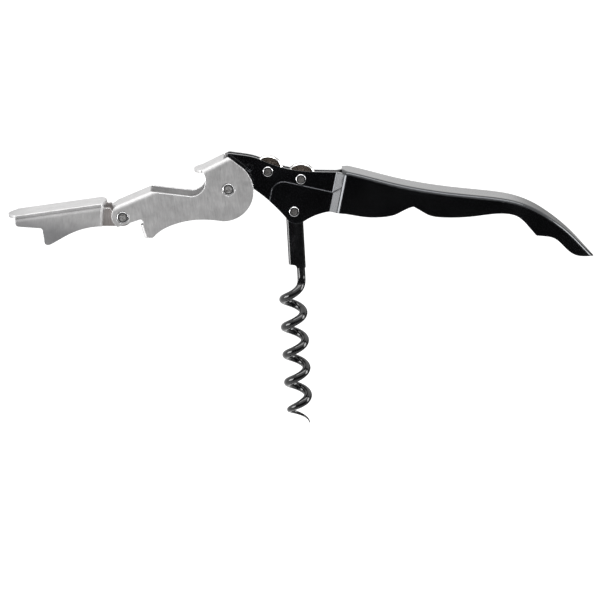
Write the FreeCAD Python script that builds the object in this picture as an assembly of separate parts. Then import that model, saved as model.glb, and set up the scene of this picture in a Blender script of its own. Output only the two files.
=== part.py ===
import FreeCAD, Part
import math
import os

# Double-hinged waiter's corkscrew with two foil-cutter wheels.
# Millimetres. +X runs along the handle to its tip, +Z is up, +Y goes through the sheet-metal walls.
# Outlines are drawn from the worm's pin; the finished pieces are moved to put the origin at the worm's tip.

V = FreeCAD.Vector

# Driving sizes
SHEET = 1.0                 # thickness of the handle's and levers' steel sheet
HEAD_HALF = 2.0             # half width of the handle's narrow head, outside
PANEL_RISE = 0.3            # how far the pressed panel round the worm's pin stands out
PANEL_ROUND = 0.2           # of its rim
GRIP_HALF = 5.9             # half width of the grip, outside
LEVER_HALF = 5.7            # half width of both levers, outside
TONGUE_HALF = 4.6           # half width of the end lever's tongue, inside the upper lever
BEND_RADIUS = 1.5           # outside radius of the folds along the tops of the levers
SPINE_BEND = 1.2            # and along the grip's spine
JOGGLE_BEND = 0.8           # inside radius of the joggle's bends
LEAN = 11.0                 # degrees that the grip's joggle leans back from upright
FAR = 30.0                  # past every wall

# Rivets
PIN_RADIUS = 1.3
HEAD_RADIUS = 1.6
HEAD_HEIGHT = 0.45
SUNK_HEAD_RADIUS = 1.85     # heads of the two lever rivets, sunk into the cheeks
SINK_RADIUS = 2.0
SINK_DEPTH = 0.55
RIVET_ROUND = 0.3
DISH_DEPTH = 0.15
DISH_SHARE = 0.6            # of the head's radius
RUNNING = 0.05              # radial clearance of a piece that turns on a rivet
SIDE_PLAY = 0.1             # clearance beside a piece that turns

# Places of the rivets, from the worm's pin
LEVER_PIVOT = (-20.4, 7.7)
LEVER_HINGE = (-53.3, -1.2)
WHEEL_AXLES = {"left": (-8.2, 12.65), "right": (2.1, 10.25)}
WORM_PIN = (0.0, 0.0)

# Worm
WIRE_RADIUS = 1.3
COIL_RADIUS = 3.05          # of the wire's centre line
COIL_OFFSET = -1.95         # the coil's axis from the pin
PITCH = 9.0
LEG_TOP = -18.4             # height at which the flat stem gives way to round wire
RUN_OUT = 5.0               # length over which the stem's flats run out on the leg
COIL_TOP = -21.0            # height at which the wire starts to turn
TURN_IN = 6.0               # height over which it comes up to its full turn rate
WORM_LENGTH = 69.0
TAPER_LENGTH = 8.0
POINT_RADIUS = 0.15
STEM_HALF = 2.65
STEM_THICKNESS = 2.3
STEM_ROUND = 0.92           # of its long edges
WORM_TILT = 3.1             # degrees from square, as the worm stands when open

# Cutter wheels
WHEEL_RADIUS = 4.8
WHEEL_THICKNESS = 1.0
WHEEL_BEVEL = 0.5
WHEEL_EDGE = 0.2            # width of land left at the cutting edge
WASHER_RADIUS = 2.6

# Collars on the levers' pivot
SPACER_RADIUS = 3.0
BUSH_RADIUS = 2.2


def at(x, z, y=0.0):
    return V(x, y, z)


def from_place(place, radius, degrees):
    angle = math.radians(degrees)
    return (place[0] + radius * math.cos(angle), place[1] + radius * math.sin(angle))


def outline(start, *steps):
    """Closed outline seen from the side: a point is a straight run, a pair of points is an arc
    through the first one, and a list is a smooth curve through its points."""
    edges = []
    here = at(*start)
    for step in steps:
        if isinstance(step, list):
            points = [here] + [at(*point) for point in step]
            curve = Part.BSplineCurve()
            curve.interpolate(points)
            edges.append(curve.toShape())
        elif isinstance(step[0], tuple):
            points = [here, at(*step[0]), at(*step[1])]
            edges.append(Part.Arc(*points).toShape())
        else:
            points = [here, at(*step)]
            edges.append(Part.makeLine(*points))
        here = points[-1]
    if here.distanceToPoint(at(*start)) > 1e-6:
        edges.append(Part.makeLine(here, at(*start)))
    return Part.Wire(edges)


def prism(wire, half):
    """A side outline made as thick as the piece is wide, centred on the middle plane."""
    face = Part.Face(wire)
    face.translate(V(0, -half, 0))
    return face.extrude(V(0, 2 * half, 0))


def slab(wire, y0, y1):
    face = Part.Face(wire)
    face.translate(V(0, y0, 0))
    return face.extrude(V(0, y1 - y0, 0))


def both_sides(shape):
    return [shape, shape.mirror(V(0, 0, 0), V(0, 1, 0))]


def rod(radius, y0, y1, place):
    return Part.makeCylinder(radius, y1 - y0, at(place[0], place[1], y0), V(0, 1, 0))


def through(place, radius):
    return rod(radius, -FAR, FAR, place)


def round_across(solid, rounds):
    """Round the edges that cross the piece at these corners of its outline: {(x, z): radius}."""
    for (x, z), radius in rounds.items():
        found = []
        for edge in solid.Edges:
            a, b = edge.Vertexes[0].Point, edge.Vertexes[-1].Point
            crosses = abs(a.y - b.y) > 1e-3
            if crosses and all(math.hypot(p.x - x, p.z - z) < 1e-3 for p in (a, b)):
                found.append(edge)
        solid = solid.makeFillet(radius, found)
    return solid


def off_line(point, start, end):
    dx, dz = end[0] - start[0], end[1] - start[1]
    return abs((point.x - start[0]) * dz - (point.z - start[1]) * dx) / math.hypot(dx, dz)


def fold_edges(solid, start, end, half):
    """The two edges of a straight web's outer face that run along it."""
    found = []
    for edge in solid.Edges:
        ends = [vertex.Point for vertex in edge.Vertexes]
        on_side = len(ends) == 2 and all(abs(abs(p.y) - half) < 1e-3 for p in ends)
        if on_side and ends[0].y * ends[1].y > 0 and all(off_line(p, start, end) < 1e-3 for p in ends):
            found.append(edge)
    return found


def nose(root, toward, reach, half):
    """The rounded end of a web, standing out past its folds."""
    along = at(*toward)
    along.normalize()
    down = V(along.z, 0, -along.x)
    if down.z > 0:
        down = down * -1
    origin = at(*root)

    def corner(u, y):
        return origin + along * u + V(0, y, 0)

    edges = [
        Part.makeLine(corner(-0.5, half), corner(0, half)),
        Part.Arc(corner(0, half), corner(reach, 0), corner(0, -half)).toShape(),
        Part.makeLine(corner(0, -half), corner(-0.5, -half)),
        Part.makeLine(corner(-0.5, -half), corner(-0.5, half)),
    ]
    return Part.Face(Part.Wire(edges)).extrude(down * SHEET)


# Handle: one folded sheet, open along the top of its narrow head and along the bottom of its grip

HEAD_TIP = (-20.9, 18.5)
NECK = (-12.5, 7.1)         # where the head comes out from behind the upper lever
LOBE_RADIUS = 6.2           # of the head round the levers' pivot
CUSP = (37.1, 2.3)          # notch in the grip that the folded end lever's tooth fits
HEEL = (75.4, -6.95)        # of the step before the grip's hooked end
HANDLE_TIP = (93.8, -14.4)
SPINE = [(14.8, 13.6), (22, 11.95), (31.5, 9.5), (40, 7.8), (50.5, 6.35), (61.6, 5.2), (68.3, 4.05),
         (75, 1.5), (80.6, -2.05), (86.2, -6.6), (90.6, -11.1), HANDLE_TIP]
JOGGLE = ((10.8, HEAD_HALF), (13.6, GRIP_HALF))     # where it starts and ends, along and out
TAPER = [(64, 0), (74, 0.25), (82, 0.9), (88, 1.8), (92, 2.7)]      # along the grip, and in from each side
PLAN_END = 97.6
DIMPLE = (-13.9, 13.9)
DIMPLE_DEPTH = 0.6


def handle_outline():
    return outline(
        HEAD_TIP,
        [(-16.6, 17.9), (-11.8, 16.95), (-9.0, 15.8), (-4.8, 14.25), (2.4, 12.8), (8.7, 12.5),
         (15.0, 12.4)],
        SPINE[0],
        SPINE[1:],
        [(91.6, -14.25), (88.5, -13.8), (86.2, -12.6), (83.6, -10.1), (80.9, -7.9), (77.8, -7.2), HEEL],
        [(72.1, -3.1), (69.5, -0.9), (65.0, 0.1), (56.5, -0.7), (46.0, -1.1), (42.2, -0.5), (39.5, 0.9),
         CUSP],
        [(34.8, 1.5), (31.5, -0.2), (27.0, -1.05), (22.0, -1.0), (16.4, -0.1), (12.0, 0.1), (8.0, -0.7),
         (3.0, -3.15)],
        ((0.6, -3.9), (-1.9, -2.8)),
        ((-7.3, 2.95), NECK),
        from_place(LEVER_PIVOT, LOBE_RADIUS, 330),
        (from_place(LEVER_PIVOT, LOBE_RADIUS, 220), from_place(LEVER_PIVOT, LOBE_RADIUS, 112)),
        (-20.9, 15.0),
    )


def inner_spine():
    """The grip's inner face, one sheet below its top."""
    points = []
    for before, here, after in zip(SPINE[:1] + SPINE, SPINE, SPINE[1:] + SPINE[-1:]):
        dx, dz = after[0] - before[0], after[1] - before[1]
        run = math.hypot(dx, dz)
        points.append((here[0] + SHEET * dz / run, here[1] - SHEET * dx / run))
    return points


def joggle_corners(inset):
    """Where the walls step out from the head to the grip; inset moves them to the inner faces."""
    run, rise = JOGGLE[1][0] - JOGGLE[0][0], GRIP_HALF - HEAD_HALF
    shift = inset * (math.hypot(run, rise) - run) / rise
    return [(x + shift, y - inset) for x, y in JOGGLE]


def plan_outline(inset):
    """The handle seen from above; inset moves it in to the walls' inner faces."""
    head, grip = HEAD_HALF - inset, GRIP_HALF - inset
    side = [(-2 * FAR, head)] + joggle_corners(inset) + [(TAPER[0][0], grip)]
    taper = [V(x, grip - narrowing, 0) for x, narrowing in TAPER]
    end = Part.BSplineCurve()
    end.interpolate(taper + [V(PLAN_END - inset, 0, 0)] + [V(p.x, -p.y, 0) for p in reversed(taper)])
    edges = [end.toShape(), Part.makeLine(V(-2 * FAR, -head, 0), V(-2 * FAR, head, 0))]
    for sign in (1, -1):
        points = [V(x, sign * y, 0) for x, y in side]
        edges += [Part.makeLine(a, b) for a, b in zip(points, points[1:])]
    return Part.Wire(Part.__sortEdges__(edges))


def leaning(inset):
    """The plan outline made into walls that lean back as the joggle does, with its bends rounded."""
    lean = V(math.tan(math.radians(LEAN)), 0, 1)
    face = Part.Face(plan_outline(inset))
    face.translate(lean * -FAR)
    solid = face.extrude(lean * (2 * FAR))
    radii = (JOGGLE_BEND + inset, JOGGLE_BEND + SHEET - inset)
    for (x, y), radius in zip(joggle_corners(inset), radii):
        bends = []
        for edge in solid.Edges:
            ends = [vertex.Point for vertex in edge.Vertexes]
            if all(abs(p.x - lean.x * p.z - x) < 1e-3 and abs(abs(p.y) - y) < 1e-3 for p in ends):
                bends.append(edge)
        solid = solid.makeFillet(radius, bends)
    return solid


def panel(half):
    """The pressed panel round the worm's pin, up to the joggle."""
    corner = (-6.5, 10.3)
    wire = outline((-7.75, 3.1), corner, (14.0, 5.7), (11.0, -9.0), (-7.9, -9.0))
    solid = round_across(prism(wire, half), {corner: 4.0})
    rims = []
    for edge in solid.Edges:
        ends = [vertex.Point for vertex in edge.Vertexes]
        if all(abs(abs(p.y) - half) < 1e-3 for p in ends) and ends[0].y * ends[-1].y > 0:
            rims.append(edge)
    return solid.makeFillet(PANEL_ROUND, rims)


def dimple(radius, depth, y0):
    """A shallow cone pressed inward from the head's near wall."""
    cone = Part.makeCone(radius, 0.6 * radius, depth, V(0, 0, 0), V(0, 1, 0))
    cone.translate(at(DIMPLE[0], DIMPLE[1], y0))
    return cone


def handle_shell():
    side = round_across(prism(handle_outline(), GRIP_HALF + 2), {HEAD_TIP: 0.8, CUSP: 0.5, HEEL: 0.8})
    outside = side.common(leaning(0)).Solids[0]
    spine_edges = []
    for edge in outside.Edges:
        middle = edge.CenterOfMass
        on_spine = middle.z > 5 or (middle.x > 78 and middle.z > -6)
        if edge.Length > 25 and abs(middle.y) > 1 and middle.x > 20 and on_spine:
            spine_edges.append(edge)
    outside = outside.makeFillet(SPINE_BEND, spine_edges)
    outside = outside.fuse(panel(HEAD_HALF + PANEL_RISE).common(side))
    inner = inner_spine()
    below = outline(
        (-2 * FAR, -FAR),
        (-2 * FAR, FAR),
        (SPINE[0][0], FAR),
        inner[0],
        inner[1:],
        (HANDLE_TIP[0], -FAR),
    )
    cavity = prism(below, GRIP_HALF + 2).common(leaning(SHEET))
    shell = outside.cut(cavity).cut(panel(HEAD_HALF + PANEL_RISE - SHEET))
    shell = shell.fuse(both_sides(dimple(1.0, DIMPLE_DEPTH, SHEET - HEAD_HALF - 1e-3)))
    shell = shell.cut(both_sides(dimple(1.2, DIMPLE_DEPTH, -HEAD_HALF)))
    for place in [WORM_PIN, *WHEEL_AXLES.values()]:
        shell = shell.cut(through(place, PIN_RADIUS))
    return shell.cut(through(LEVER_PIVOT, PIN_RADIUS + RUNNING))


# Upper lever: a channel whose web is cut away for the crown-cap opener

REAR_WEB = ((-54.8, 2.7), (-44.8, 6.95))
LIP_WEB = ((-29.0, 13.7), (-20.6, 17.9))
LIP_WEB_END = (-22.0, 17.2)     # the web stops short of the cheeks' corner and meets the head's tip
STEP_CORNER = (-47.3, -1.6)
TOOTH = (-45.4, -7.7)
TOOTH_HEEL = (-43.9, -7.6)
ROUND_CENTRE = (-22.1, 7.1)
ROUND_RADIUS = 9.5
FLANGE_REACH = 1.1              # of the turned-in edge of the step, ahead of the cheek
FLANGE_INNER = 2.75             # half the gap between the two turned-in edges


def below_web(start, end):
    """The web's inner face: its outer face moved in by one sheet."""
    dx, dz = end[0] - start[0], end[1] - start[1]
    run = math.hypot(dx, dz)
    shift = (SHEET * dz / run, -SHEET * dx / run)
    return [(p[0] + shift[0], p[1] + shift[1]) for p in (start, end)]


def upper_outline():
    notch = (-32.1, 9.95)
    notch_radius = 4.55
    return outline(
        REAR_WEB[0],
        ((-56.75, -0.8), (-54.9, -4.2)),
        STEP_CORNER,
        TOOTH,
        TOOTH_HEEL,
        [(-41.5, -5.4), (-37.4, -3.4), (-32.0, -2.1), (-27.0, -1.9),
         from_place(ROUND_CENTRE, ROUND_RADIUS, 270)],
        (from_place(ROUND_CENTRE, ROUND_RADIUS, 0), from_place(ROUND_CENTRE, ROUND_RADIUS, 55)),
        LIP_WEB[1],
        LIP_WEB[0],
        [(-27.9, 12.5), from_place(notch, notch_radius, 5)],
        (from_place(notch, notch_radius, -45), from_place(notch, notch_radius, -88)),
        REAR_WEB[1],
    )


def step_flange():
    """One cheek's step edge, turned inward."""
    dx, dz = TOOTH[0] - STEP_CORNER[0], TOOTH[1] - STEP_CORNER[1]
    run = math.hypot(dx, dz)
    ahead = (dz / run * FLANGE_REACH, -dx / run * FLANGE_REACH)
    top = (STEP_CORNER[0] + 0.3 * dx, STEP_CORNER[1] + 0.3 * dz)
    low = (STEP_CORNER[0] + 0.97 * dx, STEP_CORNER[1] + 0.97 * dz)
    back = (-0.1 * ahead[0], -0.1 * ahead[1])
    reached = ((top, ahead), (low, ahead), (low, back), (top, back))
    corners = [(p[0] + q[0], p[1] + q[1]) for p, q in reached]
    plate = slab(outline(*corners), -LEVER_HALF, -FLANGE_INNER)
    bend = []
    for edge in plate.Edges:
        ends = [vertex.Point for vertex in edge.Vertexes]
        if all(abs(p.y + LEVER_HALF) < 1e-3 and off_line(p, corners[0], corners[1]) < 1e-3 for p in ends):
            bend.append(edge)
    return plate.makeFillet(SHEET, bend)


def sink(place):
    """Recesses in both cheeks for a rivet's heads."""
    floor = LEVER_HALF - SINK_DEPTH
    return [rod(SINK_RADIUS, y0, y0 + FAR, place) for y0 in (floor, -floor - FAR)]


def lever_upper():
    solid = prism(upper_outline(), LEVER_HALF)
    solid = round_across(solid, {STEP_CORNER: 0.8, TOOTH: 0.5, TOOTH_HEEL: 0.6})
    folds = fold_edges(solid, *REAR_WEB, LEVER_HALF) + fold_edges(solid, *LIP_WEB, LEVER_HALF)
    solid = solid.makeFillet(BEND_RADIUS, folds)
    rear = below_web(*REAR_WEB)
    lip = below_web(LIP_WEB[0], LIP_WEB_END)
    rear_left = (rear[0][0] - 8, rear[0][1] - 8 * (rear[1][1] - rear[0][1]) / (rear[1][0] - rear[0][0]))
    inner = outline((-FAR * 2.1, -FAR), rear_left, rear[1], (-45.2, 8.6), (-29.6, 12.3), lip[0], lip[1],
                    (-22.9, 19.0), (-22.9, FAR), (0, FAR), (0, -FAR))
    solid = solid.cut(prism(inner, LEVER_HALF - SHEET))
    solid = solid.fuse(nose(REAR_WEB[0], (-10, -4.25), 2.3, TONGUE_HALF - SHEET - 0.3))
    solid = solid.fuse(nose(LIP_WEB[0], (-2.1, -0.25), 2.2, LEVER_HALF - SHEET))
    solid = solid.fuse(both_sides(step_flange()))
    solid = solid.cut(sink(LEVER_PIVOT) + sink(LEVER_HINGE))
    solid = solid.cut(through(LEVER_PIVOT, PIN_RADIUS + RUNNING))
    return solid.cut(through(LEVER_HINGE, PIN_RADIUS))


# End lever: a plate over a channel whose cheeks step in to a tongue at the hinge

END_WEB = ((-86.9, -0.65), (-60.0, 3.2))
END_STEP = (-78.4, -4.7)
END_TOOTH = (-77.7, -10.3)
END_CHEEK_HALF = 5.45           # the cheeks stand a little in from the edges of the plate over them
END_SHOULDER = 2.4              # outside radius of the cheeks' soft shoulders, under the plate
PLATE_ROUND = 0.3
TONGUE_TOP = 1.6
TONGUE_LOW = -4.1
UNDER_WEB = 0.65            # the tongue's top where the upper lever's web passes over it
TONGUE_END = 2.9            # radius round the hinge
JOG = (-60.3, -59.3)        # where the cheeks step in


def end_outline():
    low = from_place(LEVER_HINGE, TONGUE_END, -95)
    return outline(
        END_WEB[0],
        (-86.75, -4.1),
        END_STEP,
        END_TOOTH,
        (-75.8, -9.8),
        [(-73.5, -8.5), (-69.5, -6.3), (-64.5, -4.6), (-59.3, TONGUE_LOW)],
        low,
        (from_place(LEVER_HINGE, TONGUE_END, 0), from_place(LEVER_HINGE, TONGUE_END, 95)),
        (-55.0, UNDER_WEB),
        (-56.7, UNDER_WEB),
        (-57.3, TONGUE_TOP),
        (-59.2, TONGUE_TOP),
        END_WEB[1],
    )


def tongue_plan():
    """One cheek seen from above."""
    step_out, step_in = (JOG[0], END_CHEEK_HALF), (JOG[1], TONGUE_HALF)
    outer = [(-3 * FAR, END_CHEEK_HALF), step_out, step_in, (-FAR, TONGUE_HALF)]
    inner = [(x - 0.45 * SHEET * (0 < i < 3), y - SHEET) for i, (x, y) in enumerate(outer)]
    corners = [V(x, -y, -FAR) for x, y in outer + inner[::-1]]
    return Part.Face(Part.makePolygon(corners + corners[:1])).extrude(V(0, 0, 2 * FAR))


def lever_end():
    side = prism(end_outline(), END_CHEEK_HALF)
    side = round_across(side, {(-86.75, -4.1): 1.2, END_STEP: 0.8, END_TOOTH: 1.1})
    side = side.makeFillet(END_SHOULDER, fold_edges(side, *END_WEB, END_CHEEK_HALF))
    inner = below_web(*END_WEB)
    plate = prism(outline(*END_WEB, inner[1], inner[0]), LEVER_HALF)
    rims = fold_edges(plate, *END_WEB, LEVER_HALF) + fold_edges(plate, *inner, LEVER_HALF)
    plate = plate.makeFillet(PLATE_ROUND, rims)
    left = (inner[0][0] - 5, inner[0][1] - 5 * (inner[1][1] - inner[0][1]) / (inner[1][0] - inner[0][0]))
    below = outline((left[0], -FAR), left, inner[1], (inner[1][0] - 0.3, 4.5), (-40, 4.5), (-40, -FAR))
    web = side.cut(prism(below, FAR))
    walls = [side.common(wall) for wall in both_sides(tongue_plan())]
    solid = plate.fuse([web] + walls)
    solid = solid.fuse(nose(END_WEB[0], (-7, -1), 2.4, LEVER_HALF - SHEET))
    solid = solid.fuse(nose(END_WEB[1], (7, 1), 1.5, LEVER_HALF - SHEET))
    return solid.cut(through(LEVER_HINGE, PIN_RADIUS + RUNNING))


# Worm: a flat coined stem on its pin, then one wire down a short leg and round the coil

def worm_line():
    """The wire's centre line. Its turn rate rises smoothly from none, on the leg, to the coil's."""
    points = []
    steps = 160
    start = LEG_TOP + 2
    for i in range(steps + 1):
        z = start + (-WORM_LENGTH - start) * i / steps
        below = max(0.0, COIL_TOP - z)
        turned = below * below / (2 * TURN_IN) if below < TURN_IN else below - TURN_IN / 2
        angle = -2 * math.pi * turned / PITCH
        points.append(V(COIL_OFFSET + COIL_RADIUS * math.cos(angle), COIL_RADIUS * math.sin(angle), z))
    line = Part.BSplineCurve()
    line.interpolate(points)
    return line


def sweep(line, start, end, sizes):
    """Wire along part of a line, kept square to the coil's axis: sizes gives its radius at places."""
    pipe = Part.BRepOffsetAPI.MakePipeShell(Part.Wire(line.toShape(start, end)))
    axis = Part.makeLine(V(COIL_OFFSET, 0, FAR), V(COIL_OFFSET, 0, -WORM_LENGTH - FAR))
    pipe.setAuxiliarySpine(Part.Wire(axis), False, False)
    for place, size in sizes.items():
        pipe.add(Part.Wire(Part.makeCircle(size, line.value(place), line.tangent(place)[0])))
    pipe.build()
    pipe.makeSolid()
    return pipe.shape()


def stem():
    leg_in = COIL_OFFSET + COIL_RADIUS - WIRE_RADIUS
    side = outline(
        (-STEM_HALF, 0),
        ((0, STEM_HALF), (STEM_HALF, 0)),
        (STEM_HALF, LEG_TOP),
        (leg_in, LEG_TOP),
        ((leg_in - 0.25, LEG_TOP + 0.7), (leg_in - 0.9, LEG_TOP + 1.0)),
        (-STEM_HALF, LEG_TOP + 1.3),
    )
    solid = prism(side, STEM_THICKNESS / 2)
    long_edges = []         # on one side; the rounding runs on over the top and down the other
    for edge in solid.Edges:
        a, b = edge.Vertexes[0].Point, edge.Vertexes[-1].Point
        if abs(a.z - b.z) > 10 and a.x > 0 and b.x > 0:
            long_edges.append(edge)
    return solid.makeFillet(STEM_ROUND, long_edges)


def worm():
    line = worm_line()
    start, end = line.FirstParameter, line.LastParameter
    taper = end - (end - start) * TAPER_LENGTH / (WORM_LENGTH + LEG_TOP)
    wire = sweep(line, start, taper, {start: WIRE_RADIUS})
    point = sweep(line, taper, end, {taper: WIRE_RADIUS, end: POINT_RADIUS})
    flat = STEM_THICKNESS / 2
    runs = [V(-FAR, flat, LEG_TOP + 3), V(-FAR, flat, LEG_TOP), V(-FAR, WIRE_RADIUS, LEG_TOP - RUN_OUT),
            V(-FAR, FAR, LEG_TOP - RUN_OUT), V(-FAR, FAR, LEG_TOP + 3)]
    wedge = Part.Face(Part.makePolygon(runs + runs[:1])).extrude(V(2 * FAR, 0, 0))
    wire = wire.cut(both_sides(wedge))
    solid = wire.fuse([point, stem()])
    solid = solid.cut(through(WORM_PIN, PIN_RADIUS + RUNNING))
    solid.rotate(V(0, 0, 0), V(0, -1, 0), WORM_TILT)
    return solid


def worm_tip():
    line = worm_line()
    tip = line.value(line.LastParameter)
    turned = Part.Vertex(tip)
    turned.rotate(V(0, 0, 0), V(0, -1, 0), WORM_TILT)
    return turned.Point


# Cutter wheels and the small turned pieces

def cutter_wheel(place):
    disc = rod(WHEEL_RADIUS, -WHEEL_THICKNESS / 2, WHEEL_THICKNESS / 2, place)
    land = (WHEEL_THICKNESS - WHEEL_EDGE) / 2
    rims = [edge for edge in disc.Edges if edge.Closed]
    disc = disc.makeChamfer(land, WHEEL_BEVEL, rims)
    return disc.cut(through(place, PIN_RADIUS + RUNNING))


def ring_between(place, outer, bore, y0, y1):
    return rod(outer, y0, y1, place).cut(through(place, bore))


def rivet(place, grip_half, head_radius, head_height):
    """A rivet with a flat dished head at each end; grip_half is half the distance between its heads."""
    top = grip_half + head_height
    body = rod(PIN_RADIUS, -grip_half, grip_half, place)
    body = body.fuse([rod(head_radius, y0, y0 + head_height, place) for y0 in (grip_half, -top)])
    rims = [edge for edge in body.Edges if edge.Closed and abs(abs(edge.Vertexes[0].Point.y) - top) < 1e-4]
    body = body.makeFillet(RIVET_ROUND, rims)
    dish = DISH_SHARE * head_radius
    return body.cut([rod(dish, y0, y0 + DISH_DEPTH, place) for y0 in (top - DISH_DEPTH, -top)])


def pieces():
    """Every piece by its node's name."""
    head_gap = HEAD_HALF - SHEET
    made = {
        "handle_shell": handle_shell(),
        "lever_upper": lever_upper(),
        "lever_end": lever_end(),
        "worm": worm(),
        "worm_pin": rivet(WORM_PIN, HEAD_HALF + PANEL_RISE, HEAD_RADIUS, HEAD_HEIGHT),
    }
    washer = (head_gap - WHEEL_THICKNESS / 2) - 2 * RUNNING
    inner = WHEEL_THICKNESS / 2 + RUNNING
    for side, place in WHEEL_AXLES.items():
        made["cutter_wheel_" + side] = cutter_wheel(place)
        made["wheel_axle_" + side] = rivet(place, HEAD_HALF, HEAD_RADIUS, HEAD_HEIGHT)
        for face, y0 in (("front", -inner - washer), ("back", inner)):
            name = "wheel_washer_" + face + "_" + side
            made[name] = ring_between(place, WASHER_RADIUS, PIN_RADIUS, y0, y0 + washer)
    sunk = LEVER_HALF - SINK_DEPTH
    for name, place in (("lever_pivot_pin", LEVER_PIVOT), ("lever_hinge_pin", LEVER_HINGE)):
        made[name] = rivet(place, sunk + RUNNING, SUNK_HEAD_RADIUS, SINK_DEPTH)
    near, far = HEAD_HALF + SIDE_PLAY, LEVER_HALF - SHEET - SIDE_PLAY
    made["pivot_spacer_front"] = ring_between(LEVER_PIVOT, SPACER_RADIUS, PIN_RADIUS, -far, -near)
    made["pivot_spacer_back"] = ring_between(LEVER_PIVOT, SPACER_RADIUS, PIN_RADIUS, near, far)
    made["pivot_bush"] = ring_between(LEVER_PIVOT, BUSH_RADIUS, PIN_RADIUS + RUNNING, -head_gap, head_gap)
    return made


def main():
    os.makedirs("parts", exist_ok=True)
    tip = worm_tip()
    for name, shape in pieces().items():
        solid = shape.Solids[0] if len(shape.Solids) == 1 else shape
        solid.translate(tip * -1)
        print(name, solid.isValid(), len(solid.Solids), round(solid.Volume, 1))
        solid.exportStep("parts/" + name + ".step")
    print("worm pin is at", [round(-value, 3) for value in tip])


if __name__ == "__main__":
    main()
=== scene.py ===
"""Looks, light and camera for the double-hinged waiter's corkscrew. Metres, in the part's own frame."""

import math

import bpy
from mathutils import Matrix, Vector


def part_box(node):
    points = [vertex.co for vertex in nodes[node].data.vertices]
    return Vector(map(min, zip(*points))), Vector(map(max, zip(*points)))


MM = 0.001

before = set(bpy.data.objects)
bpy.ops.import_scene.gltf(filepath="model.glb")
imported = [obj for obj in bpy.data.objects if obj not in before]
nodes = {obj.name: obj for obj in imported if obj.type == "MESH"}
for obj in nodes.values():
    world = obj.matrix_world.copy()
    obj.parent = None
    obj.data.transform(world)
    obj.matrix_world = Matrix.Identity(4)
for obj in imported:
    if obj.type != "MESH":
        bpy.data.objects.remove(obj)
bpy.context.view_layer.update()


def centre(name):
    low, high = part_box(name)
    return tuple((low + high) / 2)


# Camera: level with the object's front, looking a little down on it

PIN_HEIGHT = centre("worm_pin")[2]
DISTANCE = 1.0
ELEVATION = math.radians(12.0)      # of the camera as seen from the worm's pin
PITCH_DOWN = math.radians(13.61)    # of the line of sight
CAMERA_X = -0.00302
LENS = 192                          # focal length and sensor width, in millimetres
SENSOR = 36

camera_data = bpy.data.cameras.new("camera")
camera_data.lens = LENS
camera_data.sensor_width = SENSOR
camera = bpy.data.objects.new("camera", camera_data)
camera_height = PIN_HEIGHT + DISTANCE * math.sin(ELEVATION)
camera.location = (CAMERA_X, -DISTANCE * math.cos(ELEVATION), camera_height)
camera.rotation_euler = (math.pi / 2 - PITCH_DOWN, 0, 0)
bpy.context.scene.collection.objects.link(camera)
bpy.context.scene.camera = camera
bpy.context.scene.view_settings.view_transform = "Standard"


# Materials

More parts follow.
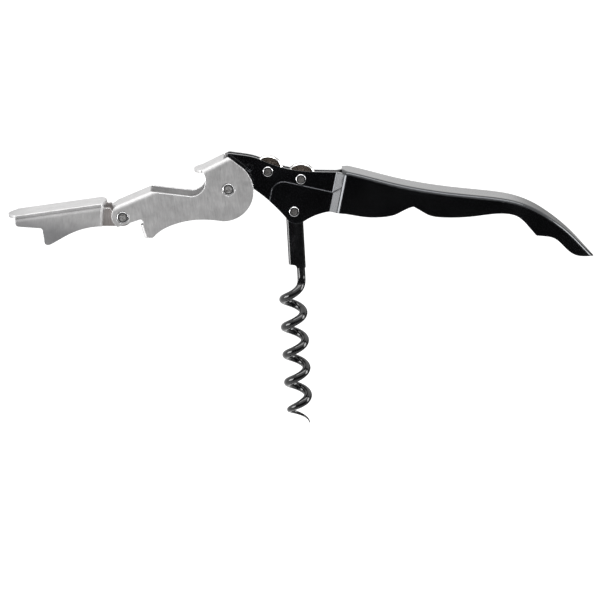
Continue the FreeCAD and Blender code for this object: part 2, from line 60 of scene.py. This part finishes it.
class Finish:
    """A material under construction: node() adds a node, and link() joins two sockets."""

    def __init__(self, name):
        self.material = bpy.data.materials.new(name)
        self.material.use_nodes = True
        self.tree = self.material.node_tree
        self.shader = self.tree.nodes["Principled BSDF"]
        coordinates = self.node("ShaderNodeTexCoord")
        self.place = coordinates.outputs["Object"]

    def node(self, kind, **settings):
        made = self.tree.nodes.new(kind)
        for key, value in settings.items():
            setattr(made, key, value)
        return made

    def link(self, source, target):
        self.tree.links.new(source, target)

    def set(self, **values):
        for key, value in values.items():
            self.shader.inputs[key.replace("_", " ")].default_value = value

    def mapped(self, scale=(1, 1, 1), turn=0.0, about=(0, 0, 0)):
        """Object coordinates moved to a centre, turned about Y, then stretched."""
        shifted = self.node("ShaderNodeVectorMath", operation="SUBTRACT")
        shifted.inputs[1].default_value = about
        self.link(self.place, shifted.inputs[0])
        rotated = self.node("ShaderNodeVectorRotate", rotation_type="Y_AXIS")
        rotated.inputs["Angle"].default_value = turn
        self.link(shifted.outputs[0], rotated.inputs["Vector"])
        stretched = self.node("ShaderNodeVectorMath", operation="MULTIPLY")
        stretched.inputs[1].default_value = scale
        self.link(rotated.outputs[0], stretched.inputs[0])
        return stretched.outputs[0]

    def noise(self, vector, scale=1.0, detail=3.0, roughness=0.5):
        made = self.node("ShaderNodeTexNoise")
        made.inputs["Scale"].default_value = scale
        made.inputs["Detail"].default_value = detail
        made.inputs["Roughness"].default_value = roughness
        self.link(vector, made.inputs["Vector"])
        return made.outputs["Fac"]

    def math(self, operation, first, second=None):
        made = self.node("ShaderNodeMath", operation=operation)
        for socket, value in zip(made.inputs, (first, second)):
            if isinstance(value, (int, float)):
                socket.default_value = value
            elif value is not None:
                self.link(value, socket)
        return made.outputs[0]

    def span(self, value, low, high, to_low, to_high):
        """value mapped from low..high to to_low..to_high, clamped."""
        made = self.node("ShaderNodeMapRange")
        for key, number in zip(("From Min", "From Max", "To Min", "To Max"), (low, high, to_low, to_high)):
            made.inputs[key].default_value = number
        self.link(value, made.inputs["Value"])
        return made.outputs["Result"]

    def blend(self, amount, dark, light):
        """A colour between dark and light, each a colour or a socket."""
        made = self.node("ShaderNodeMix", data_type="RGBA")
        self.link(amount, made.inputs["Factor"])
        for key, colour in (("A", dark), ("B", light)):
            socket = [s for s in made.inputs if s.name == key and s.type == "RGBA"][0]
            if isinstance(colour, tuple):
                socket.default_value = (*colour, 1)
            else:
                self.link(colour, socket)
        return [s for s in made.outputs if s.type == "RGBA"][0]

    def edges(self, radius):
        """The normal softened at edges, and the nearness of a sharp edge, from 0 to 1."""
        soft = self.node("ShaderNodeBevel", samples=6)
        soft.inputs["Radius"].default_value = radius
        sharp = self.node("ShaderNodeNewGeometry")
        match = self.node("ShaderNodeVectorMath", operation="DOT_PRODUCT")
        self.link(soft.outputs[0], match.inputs[0])
        self.link(sharp.outputs["Normal"], match.inputs[1])
        return soft.outputs[0], self.span(match.outputs["Value"], 0.97, 0.75, 0, 1)

    def bump(self, height, distance, strength, normal=None):
        made = self.node("ShaderNodeBump")
        made.inputs["Distance"].default_value = distance
        made.inputs["Strength"].default_value = strength
        self.link(height, made.inputs["Height"])
        if normal is not None:
            self.link(normal, made.inputs["Normal"])
        self.link(made.outputs[0], self.shader.inputs["Normal"])


def enamel(name):
    """Glossy black enamel on pressed steel: faint orange peel, uneven gloss, edges rubbed a little bare."""
    finish = Finish(name)
    finish.set(Specular_IOR_Level=0.5, Specular_Tint=(0.85, 0.91, 1, 1))
    finish.set(Coat_Weight=1.0, Coat_Roughness=0.1)
    normal, edge = finish.edges(0.35 * MM)
    cloud = finish.noise(finish.mapped(), scale=90, detail=4)
    speck = finish.noise(finish.mapped(), scale=2600, detail=2)
    worn = finish.math("MULTIPLY", edge, finish.span(cloud, 0.35, 0.75, 0.25, 1.0))
    patchy = finish.span(cloud, 0.3, 0.7, 0, 1)
    body = finish.blend(patchy, (0.0008, 0.0008, 0.001), (0.0018, 0.0018, 0.0021))
    finish.link(finish.blend(worn, body, (0.035, 0.035, 0.037)), finish.shader.inputs["Base Color"])
    finish.link(finish.span(cloud, 0.3, 0.7, 0.16, 0.26), finish.shader.inputs["Roughness"])
    finish.bump(speck, 0.01 * MM, 0.35, normal)
    return finish.material


# Where a lever's painted shade and its brown stain change, in millimetres up and along it from its centre
PAINTED_SHADE_STARTS = 2.0
PAINTED_SHADE_FULL = -3.5
TONGUE_STARTS = 9.6
TONGUE_FULL = 10.6


def brushed(name, turn, about, dull_and_shade=0.0, stain=0.0):
    """Finely brushed sheet steel with brighter edges, turned by turn about Y to lie along the lever.
    The amount of painted shade, from 0 to 1, darkens the lower half, and stain browns the end towards the
    hinge."""
    finish = Finish(name)
    finish.set(Metallic=1.0)
    normal, edge = finish.edges(0.3 * MM)
    grain = finish.noise(finish.mapped((9000, 9000, 500), turn, about), detail=3, roughness=0.6)
    streaks = finish.noise(finish.mapped((2400, 2400, 160), turn, about), detail=2)
    cloud = finish.noise(finish.mapped(), scale=300, detail=6, roughness=0.7)
    mixed = finish.math("ADD", finish.math("MULTIPLY", grain, 0.75), finish.math("MULTIPLY", streaks, 0.25))
    tone = finish.math("ADD", finish.math("MULTIPLY", mixed, 0.65), finish.math("MULTIPLY", cloud, 0.35))
    body = finish.blend(finish.span(tone, 0.35, 0.65, 0, 1), (0.58, 0.575, 0.575), (0.76, 0.755, 0.755))
    along = finish.node("ShaderNodeSeparateXYZ")
    finish.link(finish.mapped((1 / MM, 1 / MM, 1 / MM), turn, about), along.inputs[0])
    # painted shade: the lower half blended towards grey, standing in for the darker room that it faces
    low = finish.span(along.outputs["Z"], PAINTED_SHADE_STARTS, PAINTED_SHADE_FULL, 0, dull_and_shade)
    body = finish.blend(low, body, (0.30, 0.30, 0.31))
    on_tongue = finish.span(along.outputs["X"], TONGUE_STARTS, TONGUE_FULL, 0, stain)
    browned = finish.math("MULTIPLY", on_tongue, finish.span(grain, 0.4, 0.6, 0.5, 1))
    body = finish.blend(browned, body, (0.30, 0.25, 0.23))
    finish.link(finish.blend(edge, body, (0.9, 0.9, 0.91)), finish.shader.inputs["Base Color"])
    uneven = finish.span(cloud, 0.3, 0.7, -0.03, 0.03)
    rough = finish.math("ADD", finish.span(mixed, 0.3, 0.7, 0.5, 0.6), uneven)
    smoother_edge = finish.math("SUBTRACT", rough, finish.math("MULTIPLY", edge, 0.12))
    finish.link(smoother_edge, finish.shader.inputs["Roughness"])
    finish.bump(mixed, 0.012 * MM, 0.4, normal)
    return finish.material


def from_axis(finish, about):
    """Distance in millimetres from an axis along Y."""
    flat = finish.mapped((1 / MM, 0, 1 / MM), 0.0, about)
    length = finish.node("ShaderNodeVectorMath", operation="LENGTH")
    finish.link(flat, length.inputs[0])
    return length.outputs["Value"]


RING_PHASE = 30.0       # of the turning marks, in radians a millimetre outwards


def turned(name, about, dish, dull_and_shade=(0.24, 0.23, 0.22), bright=(0.50, 0.49, 0.48), rim=0.2, pit=0.42):
    """A bright rivet: a smooth rim, and a duller middle where the press closed it, out to dish millimetres.
    dull and bright are the middle's colours, and rim and pit the roughness of the two."""
    finish = Finish(name)
    finish.set(Metallic=1.0)
    radius = from_axis(finish, about)
    rings = finish.math("SINE", finish.math("MULTIPLY", radius, RING_PHASE))
    pits = finish.noise(finish.mapped(), scale=2400, detail=4, roughness=0.65)
    middle = finish.span(radius, dish + 0.05, dish - 0.05, 0, 1)
    spots = finish.span(pits, 0.4, 0.62, 0, 1)
    pressed = finish.blend(spots, bright, dull_and_shade)
    finish.link(finish.blend(middle, (0.93, 0.93, 0.94), pressed), finish.shader.inputs["Base Color"])
    finish.link(finish.span(middle, 0, 1, rim, pit), finish.shader.inputs["Roughness"])
    height = finish.math("ADD", finish.math("MULTIPLY", rings, 0.08), finish.math("MULTIPLY", pits, middle))
    finish.bump(height, 0.015 * MM, 0.5)
    return finish.material


# Rings on a cutter wheel's face, as distances from its axle in millimetres
LINE_STARTS = 4.05
BEVEL_STARTS = 4.27
EDGE_STARTS = 4.62


def cutter(name, about):
    """A cutter wheel: grained brownish face, a thin dark line, then the bright ground bevel."""
    finish = Finish(name)
    finish.set(Metallic=1.0)
    radius = from_axis(finish, about)
    grind = finish.noise(finish.mapped((2200, 2200, 2200), 0.0, about), detail=4, roughness=0.7)
    rim = finish.span(radius, EDGE_STARTS, EDGE_STARTS + 0.08, 0, 1)
    past_line = finish.span(radius, BEVEL_STARTS, BEVEL_STARTS + 0.06, 0, 1)
    bevel = finish.math("SUBTRACT", past_line, rim)
    in_line = finish.span(radius, LINE_STARTS, LINE_STARTS + 0.07, 0, 1)
    line = finish.math("MULTIPLY", in_line, finish.math("SUBTRACT", 1.0, past_line))
    face = finish.blend(finish.span(grind, 0.38, 0.66, 0, 1), (0.03, 0.024, 0.02), (0.62, 0.52, 0.43))
    lined = finish.blend(line, face, (0.05, 0.045, 0.04))
    ground = finish.blend(bevel, lined, (0.86, 0.86, 0.85))
    finish.link(finish.blend(rim, ground, (0.09, 0.08, 0.07)), finish.shader.inputs["Base Color"])
    finish.link(finish.span(bevel, 0, 1, 0.42, 0.16), finish.shader.inputs["Roughness"])
    finish.bump(grind, 0.03 * MM, 0.5)
    return finish.material


def lacquer(name):
    """The worm's glossy black coating, rubbed thin in places, over drawn wire."""
    finish = Finish(name)
    finish.set(Specular_IOR_Level=0.5, Coat_Weight=0.5, Coat_Roughness=0.05)
    normal = finish.edges(0.25 * MM)[0]
    cloud = finish.noise(finish.mapped(), scale=160, detail=5, roughness=0.6)
    drawn = finish.noise(finish.mapped((900, 900, 2400)), detail=2)
    rubbed = finish.span(cloud, 0.5, 0.8, 0, 1)
    body = finish.blend(rubbed, (0.003, 0.003, 0.0033), (0.012, 0.012, 0.013))
    finish.link(body, finish.shader.inputs["Base Color"])
    finish.link(finish.span(cloud, 0.3, 0.7, 0.07, 0.12), finish.shader.inputs["Roughness"])
    finish.bump(drawn, 0.01 * MM, 0.3, normal)
    return finish.material


def dress(name, material):
    slots = nodes[name].data.materials
    slots.clear()
    slots.append(material)


dress("handle_shell", enamel("handle_enamel"))
dress("lever_upper", brushed("upper_lever_steel", math.radians(8), centre("lever_upper")))
# the end lever gets painted shade on its lower half and a brown stain towards the hinge
dress("lever_end", brushed("end_lever_steel", math.radians(-8), centre("lever_end"), dull_and_shade=0.75, stain=0.8))
dress("worm", lacquer("worm_lacquer"))

# Radius in millimetres of the pressed middle of a rivet's head
HEAD_DISH = 0.96
SUNK_DISH = 1.11        # on the two larger heads that are sunk into the levers
RING_DISH = 1.3         # within a ring's bore, so that rings show none

for rivet in ("worm_pin", "wheel_axle_left", "wheel_axle_right"):
    dress(rivet, turned(rivet + "_steel", centre(rivet), HEAD_DISH))
for rivet in ("lever_pivot_pin", "lever_hinge_pin"):
    closed = turned(rivet + "_steel", centre(rivet), SUNK_DISH,
                    dull_and_shade=(0.22, 0.21, 0.20), bright=(0.80, 0.80, 0.80), rim=0.27, pit=0.5)
    dress(rivet, closed)
for side in ("left", "right"):
    axle = centre("wheel_axle_" + side)
    dress("cutter_wheel_" + side, cutter("cutter_" + side, axle))
    for face in ("front", "back"):
        ending = face + "_" + side
        dress("wheel_washer_" + ending, turned("washer_" + ending, axle, RING_DISH))
for collar in ("pivot_spacer_front", "pivot_spacer_back", "pivot_bush"):
    dress(collar, turned(collar + "_steel", centre(collar), RING_DISH))


# Floor and light

FLOOR = -0.265          # height of the floor; the worm's tip is at 0
FLOOR_SIZE = 40

bpy.ops.mesh.primitive_plane_add(size=FLOOR_SIZE, location=(0, 0, FLOOR))
floor = bpy.context.object
floor.name = "floor"
floor.visible_glossy = False        # or the black enamel would mirror it as grey
paper = Finish("pale_floor")
paper.set(Base_Color=(0.95, 0.95, 0.95, 1), Roughness=1.0, Specular_IOR_Level=0.0)
paper.set(Emission_Color=(1, 1, 1, 1), Emission_Strength=0.3)
floor.data.materials.append(paper.material)


MIDDLE = (0.0, 0.0, 0.05)


def softbox(name, place, width, height, watts):
    """A soft rectangular light facing the middle of the object."""
    data = bpy.data.lights.new(name, "AREA")
    data.shape = "RECTANGLE"
    data.size = width
    data.size_y = height
    data.energy = watts
    light = bpy.data.objects.new(name, data)
    light.location = place
    light.rotation_euler = (Vector(MIDDLE) - Vector(place)).to_track_quat("-Z", "Y").to_euler()
    bpy.context.scene.collection.objects.link(light)


softbox("overhead", (0.0, -0.3, 1.2), width=1.4, height=0.7, watts=10)
softbox("left", (-0.88, -0.5, 0.0), width=0.65, height=0.5, watts=7.5)
softbox("right", (1.05, -0.2, 0.3), width=0.4, height=0.8, watts=7)


# Brightness of the studio's parts
ROOM = 0.02
SWEEP = 0.8
SWEEP_RIGHT = 0.25      # share of it that is left on the right
CEILING = 0.9
TABLE = 0.7

# Where they fade in, as the X, Y or Z of a unit vector in that direction
SWEEP_FADE = (-0.9, -0.3)
RIGHT_FADE = (0.12, 0.26)
CEILING_FADE = (0.15, 0.5)
TABLE_FADE = (-0.45, -0.85)


def studio_sky():
    """White sweep behind, dimmer to the right, bright ceiling and table, and a dark room in front."""
    world = bpy.data.worlds.new("studio")
    bpy.context.scene.world = world
    world.use_nodes = True
    tree = world.node_tree
    direction = tree.nodes.new("ShaderNodeSeparateXYZ")
    tree.links.new(tree.nodes.new("ShaderNodeTexCoord").outputs["Generated"], direction.inputs[0])

    def ramp(axis, fade, first, last):
        made = tree.nodes.new("ShaderNodeMapRange")
        made.interpolation_type = "SMOOTHSTEP"
        for key, number in zip(("From Min", "From Max", "To Min", "To Max"), (*fade, first, last)):
            made.inputs[key].default_value = number
        tree.links.new(direction.outputs[axis], made.inputs["Value"])
        return made.outputs["Result"]

    def joined(operation, first, second):
        made = tree.nodes.new("ShaderNodeMath")
        made.operation = operation
        tree.links.new(first, made.inputs[0])
        tree.links.new(second, made.inputs[1])
        return made.outputs[0]

    behind = ramp("Y", SWEEP_FADE, ROOM, SWEEP)
    sweep = joined("MULTIPLY", behind, ramp("X", RIGHT_FADE, 1.0, SWEEP_RIGHT))
    above = ramp("Z", CEILING_FADE, ROOM, CEILING)
    below = ramp("Z", TABLE_FADE, ROOM, TABLE)
    level = joined("MAXIMUM", joined("MAXIMUM", sweep, above), below)
    tree.links.new(level, tree.nodes["Background"].inputs["Color"])


studio_sky()
